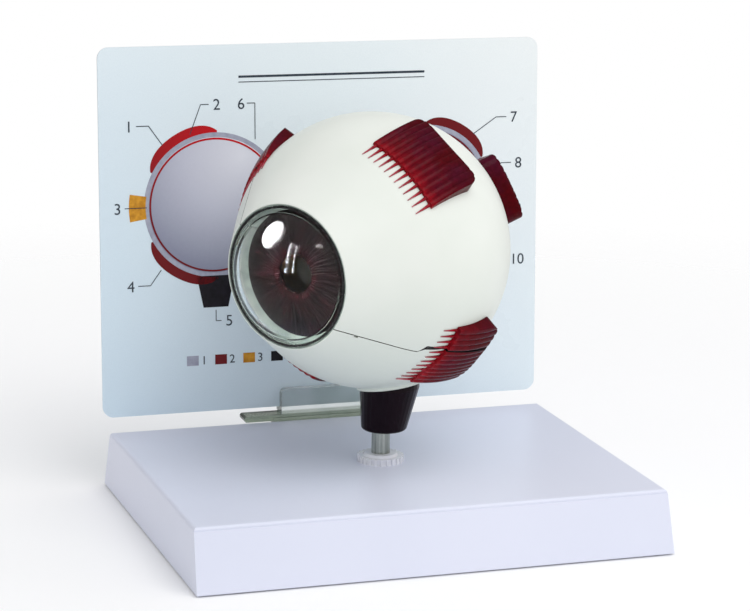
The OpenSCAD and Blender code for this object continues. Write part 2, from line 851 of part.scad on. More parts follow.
module lens() {
    color("#E8E4C8", 0.6) eye_frame() turned() intersection() {
        cap_2d(lens_front_r, -far, far, lens_front_c);
        cap_2d(lens_back_r, -far, far, lens_back_c);
        translate([0, lens_s - lens_back_r]) square([lens_r - 0.15, 2 * lens_back_r]);
    }
}

module vitreous_body() {
    color("#CFE3E8", 0.4) eye_frame() turned() difference() {
        union() {
            cap_2d(vitreous_r, -far, ora_s);
            translate([0, 0]) square([vitreous_neck_r, vitreous_front]);
        }
        translate([0, lens_back_c]) circle(r = lens_back_r + glue, $fn = 180);
    }
}

module cornea() {
    color("#DCE6E4", 0.4) eye_frame() turned() difference() {
        union() {
            intersection() {
                cap_2d(cornea_r, rim_s - 0.6, far, cornea_c);
                half_plane();
                square([cornea_edge_r, far]);
            }
            translate([cornea_edge_r - 1.9, rim_s - skirt_h]) square([1.9, skirt_h]);
            translate([cornea_edge_r - 1.9, rim_s - skirt_h])
                square([seal_out - cornea_edge_r + 1.9, skirt_h - seal_h - glue]);
        }
        translate([0, cornea_c]) circle(r = cornea_r - cornea_t, $fn = 180);
    }
}

module cornea_seal() {
    color("#101012") eye_frame() turned()
        translate([seal_in, rim_s - seal_h]) square([seal_w, seal_h + 0.1]);
}

base_shell();
rubber_feet();
rod_bush();
support_rod();
thrust_washer();
retaining_clip();
card_holder();
holder_screws();
key_card();
mounting_post();
post_screws();
lower_sclera();
lower_choroid();
lower_retina();
locating_pins();
inferior_rectus();
inferior_oblique();
lower_medial_rectus();
lower_lateral_rectus();
optic_nerve();
nerve_sheath();
nerve_vessels();
upper_sclera();
upper_choroid();
upper_retina();
superior_rectus();
superior_oblique();
upper_medial_rectus();
upper_lateral_rectus();
iris();
ciliary_body();
lens();
vitreous_body();
cornea();
cornea_seal();
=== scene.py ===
"""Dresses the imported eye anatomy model: materials, printed card, carved iris, light and camera."""

import math

import bmesh
import bpy
from mathutils import Matrix, Vector, noise

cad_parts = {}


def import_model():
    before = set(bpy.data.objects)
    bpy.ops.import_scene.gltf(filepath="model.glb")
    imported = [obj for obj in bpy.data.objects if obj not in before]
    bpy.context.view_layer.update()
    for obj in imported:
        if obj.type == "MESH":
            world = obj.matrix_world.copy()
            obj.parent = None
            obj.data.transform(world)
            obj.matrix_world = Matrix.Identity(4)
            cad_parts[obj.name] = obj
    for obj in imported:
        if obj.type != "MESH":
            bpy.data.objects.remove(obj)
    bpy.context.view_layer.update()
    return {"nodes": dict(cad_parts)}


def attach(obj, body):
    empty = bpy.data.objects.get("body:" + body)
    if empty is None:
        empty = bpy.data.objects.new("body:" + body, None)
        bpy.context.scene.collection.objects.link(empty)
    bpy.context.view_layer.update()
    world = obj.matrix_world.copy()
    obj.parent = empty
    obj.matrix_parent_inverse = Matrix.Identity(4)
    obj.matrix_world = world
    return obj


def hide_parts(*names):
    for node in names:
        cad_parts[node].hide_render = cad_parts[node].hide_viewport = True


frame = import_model()
nodes = frame["nodes"]
MM = 0.001

# ---------------------------------------------------------------- the eye's own frame, as in the CAD model
EYE_R = 47.2
IRIS_R, PUPIL_R = 22.4, 6.2
# radius and distance along the gaze of the points of the iris's front face
IRIS_FACE = ((6.2, 42.7), (6.7, 43.35), (8.4, 43.6), (10.2, 43.15), (18.4, 41.6), (20.8, 41.2), (22.4, 41.2))
# the parting face is level in front of STEP_END and rises by STEP_RISE of the distance to the side behind it
STEP_END, STEP_RISE = 20.9, 0.05092
PARTING_MIDDLE = 0.15
EYE = (
    Matrix.Rotation(math.radians(216), 4, "Z")
    @ Matrix.Translation(Vector((1, -4.45, 94.6)) * MM)
    @ Matrix.Rotation(math.radians(1.55), 4, "Y")
    @ Matrix.Rotation(math.radians(-38), 4, "X")
)
CENTRE = EYE.to_translation()
GAZE = EYE.to_3x3() @ Vector((1, 0, 0))
SIDE = EYE.to_3x3() @ Vector((0, 1, 0))
UPPER = EYE.to_3x3() @ Vector((0, 0, 1))
# ---------------------------------------------------------------- the key card's frame, its front face towards -Y
CARD = Matrix.Translation(Vector((-1.2, 61.9, 25.5)) * MM) @ Matrix.Rotation(math.radians(-3), 4, "X")
CARD_W, CARD_T = 165.1, 0.8
FILM_GAP, INK_STEP = 0.03, 0.015


# ---------------------------------------------------------------- node helpers
def rgb(code):
    """A screen colour such as 'DADEEC' as linear numbers."""
    out = []
    for i in (0, 2, 4):
        c = int(code[i:i + 2], 16) / 255
        out.append(c / 12.92 if c <= 0.04045 else ((c + 0.055) / 1.055) ** 2.4)
    return (*out, 1.0)


class Nodes:
    """A material's node tree, with short calls for the nodes used here."""

    def __init__(self, name, rough=0.4, **sockets):
        self.mat = bpy.data.materials.new(name)
        self.mat.use_nodes = True
        self.tree = self.mat.node_tree
        self.shader = self.tree.nodes["Principled BSDF"]
        self.shader.inputs["Roughness"].default_value = rough
        for key, value in sockets.items():
            self.shader.inputs[key.replace("_", " ")].default_value = value
        self.place = self.new("ShaderNodeTexCoord").outputs["Object"]

    def new(self, kind, **props):
        n = self.tree.nodes.new(kind)
        for key, value in props.items():
            setattr(n, key, value)
        return n

    def put(self, socket, value):
        if isinstance(value, bpy.types.NodeSocket):
            self.tree.links.new(value, socket)
        else:
            socket.default_value = value

    def maths(self, operation, a, b=0.0, clamp=False):
        n = self.new("ShaderNodeMath", operation=operation, use_clamp=clamp)
        for socket, value in zip(n.inputs, (a, b)):
            self.put(socket, value)
        return n.outputs[0]

    def vector(self, operation, a, b=(0, 0, 0), scale=1.0):
        n = self.new("ShaderNodeVectorMath", operation=operation)
        self.put(n.inputs[0], a)
        self.put(n.inputs[1], b)
        if operation == "SCALE":
            self.put(n.inputs["Scale"], scale)
        return n.outputs["Value"] if operation in ("DOT_PRODUCT", "LENGTH", "DISTANCE") else n.outputs[0]

    def noise(self, scale, detail=3.0, rough=0.55, at=None, stretch=None):
        at = at or self.place
        if stretch:
            at = self.vector("MULTIPLY", at, stretch)
        n = self.new("ShaderNodeTexNoise")
        self.put(n.inputs["Vector"], at)
        n.inputs["Scale"].default_value = scale
        n.inputs["Detail"].default_value = detail
        n.inputs["Roughness"].default_value = rough
        return n.outputs["Fac"]

    def ramp(self, fac, stops):
        n = self.new("ShaderNodeValToRGB")
        while len(n.color_ramp.elements) < len(stops):
            n.color_ramp.elements.new(0.5)
        for element, (at, colour) in zip(n.color_ramp.elements, stops):
            element.position = at
            element.color = colour if isinstance(colour, tuple) else (colour, colour, colour, 1)
        self.put(n.inputs[0], fac)
        return n.outputs[0]

    def range(self, value, low, high, to_low=0.0, to_high=1.0):
        n = self.new("ShaderNodeMapRange", clamp=True)
        for socket, v in zip(n.inputs, (value, low, high, to_low, to_high)):
            self.put(socket, v)
        return n.outputs[0]

    def mix(self, fac, a, b, blend="MIX"):
        n = self.new("ShaderNodeMix", data_type="RGBA", blend_type=blend)
        self.put(n.inputs[0], fac)
        self.put(n.inputs[6], a)
        self.put(n.inputs[7], b)
        return n.outputs[2]

    def bump(self, height, strength=0.3, distance=0.0002):
        n = self.new("ShaderNodeBump")
        n.inputs["Strength"].default_value = strength
        n.inputs["Distance"].default_value = distance
        self.put(n.inputs["Height"], height)
        self.put(self.shader.inputs["Normal"], n.outputs[0])

    def colour(self, value):
        self.put(self.shader.inputs["Base Color"], value)

    def rough(self, value):
        self.put(self.shader.inputs["Roughness"], value)

    def eye_place(self):
        """Distance along the gaze and the place relative to the eyeball's centre, both in millimetres."""
        from_centre = self.vector("SCALE", self.vector("SUBTRACT", self.place, tuple(CENTRE)), scale=1 / MM)
        return self.vector("DOT_PRODUCT", from_centre, tuple(GAZE)), from_centre

    def parting(self, along, place):
        """1 in the parting gap's shadow, which is wide behind the step and thin in front of it, 0 elsewhere."""
        side = self.maths("ABSOLUTE", self.vector("DOT_PRODUCT", place, tuple(SIDE)))
        height = self.vector("DOT_PRODUCT", place, tuple(UPPER))
        behind = self.maths("MAXIMUM", self.maths("SUBTRACT", STEP_END, along), 0)
        face = self.maths("MINIMUM", behind, self.maths("MULTIPLY", side, STEP_RISE))
        above = self.maths("SUBTRACT", self.maths("SUBTRACT", height, face), PARTING_MIDDLE)
        above = self.maths("ABSOLUTE", above)
        width = self.maths("MAXIMUM", self.range(behind, 0.5, 2.2, 0.17, 0.8), 0)
        width = self.maths("MINIMUM", width, self.range(behind, 2.6, 9.0, 0.8, 0.42))
        return self.maths("LESS_THAN", above, width)


def dress(material, *names):
    """Puts one material on every slot of the named CAD nodes."""
    for name in names:
        slots = nodes[name].material_slots
        if slots:
            for slot in slots:
                slot.material = material
        else:
            nodes[name].data.materials.append(material)


def obj_from(bm, name, material, body, smooth=True):
    """Makes a mesh into a piece of the scene that rides a body."""
    mesh = bpy.data.meshes.new(name)
    bm.normal_update()
    bm.to_mesh(mesh)
    bm.free()
    for p in mesh.polygons:
        p.use_smooth = smooth
    mesh.materials.append(material)
    obj = bpy.data.objects.new(name, mesh)
    bpy.context.collection.objects.link(obj)
    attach(obj, body)
    return obj


# ---------------------------------------------------------------- stand materials
def base_plastic():
    m = Nodes("base_plastic", rough=0.3, Specular_IOR_Level=0.35)
    m.colour(m.ramp(m.noise(9, 2), [(0.3, rgb("D8DCEC")), (0.7, rgb("DEE1F0"))]))
    m.rough(m.range(m.noise(18, 1), 0.2, 0.8, 0.28, 0.36))
    m.bump(m.noise(1400, 1), 0.04, 0.00003)
    return m.mat


def rubber():
    m = Nodes("foot_rubber", rough=0.75)
    m.colour(m.ramp(m.noise(400, 3), [(0.3, rgb("17171A")), (0.7, rgb("2B2B2E"))]))
    m.bump(m.noise(1800, 2), 0.4, 0.0001)
    return m.mat


def bush_plastic():
    m = Nodes("bush_plastic", rough=0.1, IOR=1.45, Transmission_Weight=0.15)
    m.colour(m.ramp(m.noise(120, 2), [(0.3, rgb("EDEFFA")), (0.7, rgb("FAFBFF"))]))
    m.bump(m.noise(700, 2), 0.08, 0.00008)
    return m.mat


def steel(name, light, dark, rough=0.28, along=(1, 1, 0.02)):
    m = Nodes(name, rough=rough, Metallic=1.0)
    streak = m.noise(1500, 3, stretch=along)
    m.colour(m.ramp(streak, [(0.3, rgb(dark)), (0.7, rgb(light))]))
    m.rough(m.range(m.noise(500, 2, stretch=along), 0.3, 0.7, rough - 0.08, rough + 0.1))
    m.bump(streak, 0.15, 0.00004)
    return m.mat


def acrylic():
    """Clear sheet whose solid foot looks grey-green along its length."""
    m = Nodes("clear_acrylic", rough=0.04, IOR=1.42, Transmission_Weight=0.86)
    n = m.new("ShaderNodeSeparateXYZ")
    m.put(n.inputs[0], m.place)
    foot = m.range(n.outputs[2], 0.0236, 0.0231)
    sheet = m.ramp(m.noise(90, 2), [(0.35, rgb("E4ECEA")), (0.65, rgb("F6FAFA"))])
    m.colour(m.mix(foot, sheet, m.ramp(m.noise(140, 2), [(0.3, rgb("7C887C")), (0.7, rgb("8F9A8C"))])))
    m.rough(m.range(m.noise(150, 4), 0.4, 0.75, 0.02, 0.08))
    return m.mat


def post_plastic():
    m = Nodes("post_plastic", rough=0.22, Specular_IOR_Level=0.1)
    streak = m.noise(60, 3, stretch=(1, 1, 0.25))
    m.colour(m.ramp(streak, [(0.3, rgb("0E030C")), (0.75, rgb("16060F"))]))
    m.rough(m.range(m.noise(40, 2), 0.3, 0.7, 0.18, 0.26))
    m.bump(m.noise(90, 1), 0.03, 0.0002)
    return m.mat


def card_laminate():
    """The card's sheet: a pale sky-blue that gets lighter towards the upper right, under gloss film."""
    m = Nodes("card_laminate", rough=0.3, Specular_IOR_Level=0.3)
    n = m.new("ShaderNodeSeparateXYZ")
    m.put(n.inputs[0], m.place)
    slope = m.maths("ADD", m.maths("MULTIPLY", n.outputs[0], 3.2),
                    m.maths("MULTIPLY", m.maths("SUBTRACT", n.outputs[2], 0.091), 4.2))
    cloud = m.maths("MULTIPLY", m.maths("SUBTRACT", m.noise(9, 2), 0.5), 0.35)
    fac = m.maths("ADD", m.maths("ADD", slope, 0.5), cloud, clamp=True)
    tint = m.ramp(fac, [(0.0, rgb("D3E5F1")), (0.45, rgb("E2EEF4")), (1.0, rgb("F0F5F5"))])
    dots = m.ramp(m.noise(3000, 1), [(0.42, 0.0), (0.6, 1.0)])
    m.colour(m.mix(m.maths("MULTIPLY", dots, 0.04), tint, rgb("8FA9BC")))
    m.rough(m.range(m.noise(40, 3), 0.3, 0.7, 0.26, 0.36))
    m.bump(m.noise(25, 2), 0.04, 0.0008)
    return m.mat


def print_ink(name, light, dark, scale=500):
    """Flat ink under the card's film, with a faint screen grain."""
    m = Nodes(name, rough=0.35, Specular_IOR_Level=0.3)
    m.colour(m.ramp(m.noise(scale, 3), [(0.35, rgb(dark)), (0.65, rgb(light))]))
    return m.mat


def print_globe(name, spot, light, middle, dark):
    """Shaded ink: light round a spot on the card, darker away from it."""
    m = Nodes(name, rough=0.35, Specular_IOR_Level=0.3)
    away = m.vector("DISTANCE", m.place, tuple(CARD @ (Vector((spot[0] - CARD_W / 2, -CARD_T / 2, spot[1])) * MM)))
    grain = m.maths("MULTIPLY", m.maths("SUBTRACT", m.noise(900, 2), 0.5), 0.002)
    fac = m.range(m.maths("ADD", away, grain), 0.0, 0.042)
    m.colour(m.ramp(fac, [(0.0, rgb(light)), (0.5, rgb(middle)), (1.0, rgb(dark))]))
    return m.mat


# ---------------------------------------------------------------- eye materials
def sclera():
    """White satin outside with painted shade towards the bottom and a painted shadow along the parting gap; the
    front funnel is painted a darker grey-green as painted shade, and the inside of the shell is painted dull red.
    """
    m = Nodes("sclera_plastic", rough=0.36, Specular_IOR_Level=0.22)
    along, place = m.eye_place()
    radius = m.vector("LENGTH", place)
    white = m.ramp(m.noise(22, 3), [(0.3, rgb("E2E7DF")), (0.7, rgb("EAEDE7"))])
    # painted shade: the white shell is mixed towards a darker grey-green towards the bottom
    low = m.range(m.vector("DOT_PRODUCT", place, (0.25, 0.0, 0.97)), -46, 10, 0.75, 0.0)
    white = m.mix(low, white, rgb("D3DDD5"))
    from_gaze = m.vector("LENGTH", m.vector("CROSS_PRODUCT", place, tuple(GAZE)))
    # painted shade: the funnel wall inside the rim is painted a darker grey-green than the white outside
    in_funnel = m.maths("MULTIPLY", m.range(from_gaze, 24.2, 24.0), m.range(along, 37.2, 37.6))
    funnel = m.ramp(m.noise(300, 3), [(0.3, rgb("7D8A84")), (0.7, rgb("98A49C"))])
    inside = m.maths("MULTIPLY", m.range(radius, 44.4, 44.25), m.range(along, 37.6, 37.2))
    dull = m.ramp(m.noise(160, 3), [(0.3, rgb("8E4A3A")), (0.7, rgb("A9604A"))])
    # painted shadow: near-black along the parting gap, wider behind the step than the gap itself
    outside = m.mix(m.parting(along, place), white, rgb("1C1414"))
    outside = m.mix(m.range(radius, 46.9, 47.0), white, outside)
    m.colour(m.mix(in_funnel, m.mix(inside, outside, dull), funnel))
    m.rough(m.range(m.noise(45, 4), 0.3, 0.7, 0.32, 0.44))
    m.bump(m.noise(120, 3), 0.04, 0.0003)
    return m.mat


def muscle(name, fringe_dir, middle, half, split=False):
    """Deep crimson gloss paint with purple patches of painted sheen; the tendon's strands in front of it are
    pinkish.
    """
    m = Nodes(name, rough=0.14, Specular_IOR_Level=0.07)
    far_along = m.vector("DOT_PRODUCT", m.vector("SUBTRACT", m.place, tuple(middle)), tuple(fringe_dir))
    far_along = m.maths("DIVIDE", far_along, half * MM)
    uneven = m.maths("MULTIPLY", m.maths("SUBTRACT", m.noise(160, 3), 0.5), 0.5)
    fac = m.range(m.maths("ADD", far_along, uneven), -1.2, 1.6)
    base = m.ramp(fac, [
        (0.0, rgb("48040B")), (0.4, rgb("560610")), (0.66, rgb("6C0916")), (0.78, rgb("94101C")),
        (0.84, rgb("A42C38")), (0.92, rgb("B4505C")), (1.0, rgb("C4737C")),
    ])
    # painted sheen: purple patches on the thick part of the muscle stand in for its gloss's reflection
    painted_sheen = m.ramp(m.noise(70, 3), [(0.45, 0.0), (0.68, 0.55)])
    base = m.mix(m.maths("MULTIPLY", painted_sheen, m.range(fac, 0.78, 0.6)), base, rgb("4C1530"))
    streak = m.ramp(m.noise(700, 3), [(0.35, 0.0), (0.62, 1.0)])
    base = m.mix(m.maths("MULTIPLY", streak, 0.35), base, rgb("2A0408"))
    # painted shadow: near-black along the parting gap where the muscle is split
    if split:
        along, place = m.eye_place()
        base = m.mix(m.parting(along, place), base, rgb("100508"))
    m.colour(base)
    m.rough(m.range(m.noise(400, 3), 0.3, 0.7, 0.10, 0.24))
    m.bump(m.noise(420, 3), 0.3, 0.0003)
    return m.mat


def lining(name, light, dark, vessel, scale, width):
    """Painted inner layer with a branching net of vessels."""
    m = Nodes(name, rough=0.42, Specular_IOR_Level=0.4)
    wobble = m.new("ShaderNodeTexNoise")
    m.put(wobble.inputs["Vector"], m.place)
    wobble.inputs["Scale"].default_value = scale * 0.6
    at = m.vector("ADD", m.place, m.vector("SCALE", wobble.outputs["Color"], scale=0.55 / scale))
    cells = m.new("ShaderNodeTexVoronoi", feature="DISTANCE_TO_EDGE")
    m.put(cells.inputs["Vector"], at)
    cells.inputs["Scale"].default_value = scale
    fine = m.new("ShaderNodeTexVoronoi", feature="DISTANCE_TO_EDGE")
    m.put(fine.inputs["Vector"], at)
    fine.inputs["Scale"].default_value = scale * 2.7
    lines = m.maths("MAXIMUM", m.ramp(cells.outputs["Distance"], [(0.0, 1.0), (width, 0.0)]),
                    m.ramp(fine.outputs["Distance"], [(0.0, 0.6), (width, 0.0)]))
    base = m.ramp(m.noise(90, 4), [(0.3, rgb(dark)), (0.7, rgb(light))])
    m.colour(m.mix(lines, base, rgb(vessel)))
    m.bump(lines, 0.4, 0.0002)
    return m.mat


def painted(name, light, dark, rough=0.55, scale=220, coat=0.0, grain=0.25):
    """Opaque paint or rubber with a mottled colour and a fine grain."""
    m = Nodes(name, rough=rough, Coat_Weight=coat, Coat_Roughness=0.1)
    m.colour(m.ramp(m.noise(scale, 4), [(0.3, rgb(dark)), (0.7, rgb(light))]))
    m.rough(m.range(m.noise(scale * 2, 2), 0.3, 0.7, rough - 0.08, rough + 0.08))
    m.bump(m.noise(scale * 3, 2), grain, 0.00015)
    return m.mat


def clear(name, tint, rough=0.02, ior=1.45, gloss=0.5, wear=0.04):
    """Clear tinted plastic; wear adds patches of roughness."""
    m = Nodes(name, rough=rough, IOR=ior, Transmission_Weight=1.0, Specular_IOR_Level=gloss)
    m.colour(m.ramp(m.noise(30, 2), [(0.3, rgb(tint)), (0.7, rgb("FFFFFF"))]))
    m.rough(m.range(m.noise(70, 3), 0.45, 0.8, rough, rough + wear))
    return m.mat


def iris_paint():
    """Near-black brown iris with reddish radial fibres, a ruddy collar round the pupil and a dark rim."""
    m = Nodes("iris_paint", rough=0.4, Specular_IOR_Level=0.05)
    along, place = m.eye_place()
    y = m.vector("DOT_PRODUCT", place, tuple(SIDE))
    z = m.vector("DOT_PRODUCT", place, tuple(UPPER))
    r = m.maths("SQRT", m.maths("ADD", m.maths("MULTIPLY", y, y), m.maths("MULTIPLY", z, z)))
    turn = m.maths("ARCTAN2", y, z)

    def polar(turns, inwards):
        n = m.new("ShaderNodeCombineXYZ")
        m.put(n.inputs[0], m.maths("MULTIPLY", m.maths("COSINE", turn), turns))
        m.put(n.inputs[1], m.maths("MULTIPLY", m.maths("SINE", turn), turns))
        m.put(n.inputs[2], m.maths("MULTIPLY", r, inwards))
        return n.outputs[0]

    fibre = m.noise(2.2, 5, 0.65, at=polar(8.0, 0.13))
    broad = m.noise(1.0, 2, 0.5, at=polar(3.0, 0.10))
    ring = m.range(r, PUPIL_R, IRIS_R)
    base = m.ramp(ring, [
        (0.0, rgb("060202")), (0.1, rgb("24050A")), (0.2, rgb("0D0305")), (0.5, rgb("090304")),
        (0.85, rgb("050202")), (1.0, rgb("030202")),
    ])
    ruddy = m.mix(m.ramp(broad, [(0.42, 0.0), (0.66, 0.75)]), base, rgb("1A0408"))
    light = m.mix(1.0, ruddy, rgb("1E0E0E"), blend="SCREEN")
    colour = m.mix(m.ramp(fibre, [(0.3, 0.85), (0.47, 0.0)]), ruddy, rgb("080405"))
    m.colour(m.mix(m.ramp(fibre, [(0.52, 0.0), (0.76, 0.6)]), colour, light))
    m.bump(fibre, 0.6, 0.0004)
    return m.mat


# ---------------------------------------------------------------- put the materials on
dress(base_plastic(), "base_shell")
dress(rubber(), "rubber_feet")
dress(bush_plastic(), "rod_bush")
dress(steel("rod_steel", "C9CEC6", "8E948C"), "support_rod")
dress(steel("screw_steel", "CFD0CE", "9C9E9C", along=(1, 1, 1)), "holder_screws", "post_screws", "thrust_washer",
      "locating_pins")
dress(steel("clip_steel", "5A5A5C", "343436", rough=0.4, along=(1, 1, 1)), "retaining_clip")
dress(acrylic(), "card_holder")
dress(card_laminate(), "key_card")
dress(post_plastic(), "mounting_post")
dress(sclera(), "lower_sclera", "upper_sclera")
dress(lining("choroid_plastic", "6B2A20", "45180F", "2A0A0A", 260, 0.3), "lower_choroid", "upper_choroid")
dress(lining("retina_plastic", "E39A58", "CC7538", "8E2418", 62, 0.07), "lower_retina", "upper_retina")
dress(painted("nerve_plastic", "E0A032", "A86C1A", scale=500), "optic_nerve")
dress(painted("sheath_plastic", "2B2524", "151213"), "nerve_sheath")
dress(painted("vessel_plastic", "6A3AA0", "3E1A6A", rough=0.3, coat=0.4), "nerve_vessels")
dress(painted("ciliary_plastic", "8A4630", "4A1E14", rough=0.4, coat=0.3), "ciliary_body")
dress(clear("lens_clear", "B4AC88", ior=1.3, gloss=0.05), "lens")
dress(clear("vitreous_clear", "D9E8EA", ior=1.3, gloss=0.1), "vitreous_body")
dress(clear("cornea_clear", "F4F8F7", rough=0.0, ior=1.2, wear=0.002), "cornea")
dress(painted("seal_rubber", "141417", "08080A", rough=0.28, scale=400, grain=0.05), "cornea_seal")


def on_globe(from_gaze, round_gaze, twist=0.0):
    """Frame of a muscle: its middle on the eyeball and the direction its fringe points, as in the CAD model."""
    m = (
        EYE.to_3x3()
        @ Matrix.Rotation(math.radians(-round_gaze), 3, "X")
        @ Matrix.Rotation(math.radians(90 - from_gaze), 3, "Y")
        @ Matrix.Rotation(math.radians(twist), 3, "Z")
    )
    return CENTRE + m @ Vector((0, 0, EYE_R * MM)), m @ Vector((1, 0, 0))


# each muscle's place as in the CAD model: degrees from the gaze, round it, twist; half its length in mm
for names, spot, half in (
    (("superior_rectus",), (78.6, 0.9), 10.5),
    (("superior_oblique",), (140, 17, -168), 11),
    (("upper_medial_rectus", "lower_medial_rectus"), (88.5, 92.3, 4), 10.2),
    (("upper_lateral_rectus", "lower_lateral_rectus"), (79, -95.5, -10), 10.2),
    (("inferior_rectus",), (82, 177), 10.5),
    (("inferior_oblique",), (128, -126, 160), 11),
):
    middle, towards = on_globe(*spot)
    dress(muscle(names[0] + "_paint", towards, middle, half, len(names) > 1), *names)


# ---------------------------------------------------------------- iris
def iris_disc():
    """The iris as a polar mesh with radial fibres, a raised collar round the pupil and furrows near the rim."""
    bm = bmesh.new()
    turns, rings = 360, 46
    under_front = 0.1
    back_s, back_in_s, lip = 39.8, 41.9, 1.2

    def face(r):
        for (r0, s0), (r1, s1) in zip(IRIS_FACE, IRIS_FACE[1:]):
            if r <= r1:
                return s0 + (s1 - s0) * (r - r0) / (r1 - r0)
        return IRIS_FACE[-1][1]

    def spot(s, r, a):
        return bm.verts.new(EYE @ (Vector((s, r * math.sin(a), r * math.cos(a))) * MM))

    def loop(s, r):
        return [spot(s, r, 2 * math.pi * j / turns) for j in range(turns)]

    front = []
    for i in range(rings + 1):
        r = PUPIL_R + (IRIS_R - PUPIL_R) * i / rings
        u = (r - PUPIL_R) / (IRIS_R - PUPIL_R)
        row = []
        for j in range(turns):
            a = 2 * math.pi * j / turns
            wavy = a + 0.05 * noise.noise(Vector((math.cos(a) * 2, math.sin(a) * 2, u * 3)))
            at = Vector((math.cos(wavy) * 14, math.sin(wavy) * 14, u * 1.6))
            fibre = noise.fractal(at, 0.9, 2.2, 4)
            edge = min(1, u / 0.06) * min(1, (1 - u) / 0.05)
            furrow = 0.05 * math.sin(u * 26) * max(0, u - 0.45)
            lift = 0.10 * math.exp(-((u - 0.2 - 0.02 * math.sin(9 * a)) / 0.05) ** 2) + furrow
            s = face(r) - under_front + edge * min(0.2, lift + 0.5 * (fibre - 0.35) * (0.5 + 0.5 * (1 - u)))
            row.append(spot(s, r, a))
        front.append(row)
    back_in = loop(back_in_s, PUPIL_R + lip)
    back_out = loop(back_s, IRIS_R)
    loops = [back_in] + front + [back_out, back_in]
    for a, b in zip(loops, loops[1:]):
        for j in range(turns):
            k = (j + 1) % turns
            bm.faces.new((a[j], a[k], b[k], b[j]))
    bmesh.ops.recalc_face_normals(bm, faces=bm.faces)
    obj = obj_from(bm, "iris_detail", iris_paint(), "core")
    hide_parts("iris")


iris_disc()


# ---------------------------------------------------------------- the card's print: a plain numbered diagram
class Print:
    """Flat shapes on the card's front face, in millimetres from its lower left corner."""

    def __init__(self, name, material, layer):
        self.name, self.material = name, material
        self.bm = bmesh.new()
        self.y = -CARD_T / 2 - FILM_GAP - INK_STEP * layer

    def spot(self, u, v):
        return self.bm.verts.new(CARD @ (Vector((u - CARD_W / 2, self.y, v)) * MM))

    def shape(self, points):
        self.bm.faces.new([self.spot(u, v) for u, v in points])

    def disc(self, u, v, r, r_up=None, parts=96):
        turns = [2 * math.pi * i / parts for i in range(parts)]
        self.shape([(u + r * math.cos(a), v + (r_up or r) * math.sin(a)) for a in turns])

    def arc(self, u, v, r0, r1, from_deg, to_deg, parts=48, taper=0.0):
        steps = [math.radians(from_deg + (to_deg - from_deg) * i / parts) for i in range(parts + 1)]
        inner = [self.spot(u + r0 * math.cos(a), v + r0 * math.sin(a)) for a in steps]
        outer = []
        for i, a in enumerate(steps):
            thin = 1 - taper * abs(2 * i / parts - 1) ** 4
            r = r0 + (r1 - r0) * thin
            outer.append(self.spot(u + r * math.cos(a), v + r * math.sin(a)))
        for i in range(parts):
            self.bm.faces.new((inner[i], outer[i], outer[i + 1], inner[i + 1]))

    def line(self, points, width=0.3):
        for (u0, v0), (u1, v1) in zip(points, points[1:]):
            d = Vector((u1 - u0, v1 - v0)).normalized() * width / 2
            self.shape([(u0 - d.y, v0 + d.x), (u0 + d.y, v0 - d.x), (u1 + d.y, v1 - d.x), (u1 - d.y, v1 + d.x)])

    def number(self, text, u, v, size):
        curve = bpy.data.curves.new("figure", "FONT")
        curve.body = text
        curve.size = size
        holder = bpy.data.objects.new("figure", curve)
        mesh = bpy.data.meshes.new_from_object(holder)
        mesh.transform(CARD @ Matrix.Translation(Vector((u - CARD_W / 2, self.y, v)) * MM)
                       @ Matrix.Rotation(math.pi / 2, 4, "X") @ Matrix.Scale(MM, 4))
        self.bm.from_mesh(mesh)
        bpy.data.meshes.remove(mesh)
        bpy.data.objects.remove(holder)
        bpy.data.curves.remove(curve)

    def done(self):
        front = CARD.to_3x3() @ Vector((0, -1, 0))
        self.bm.normal_update()
        for f in self.bm.faces:
            if f.normal.dot(front) < 0:
                f.normal_flip()
        obj = obj_from(self.bm, self.name, self.material, "card", smooth=False)


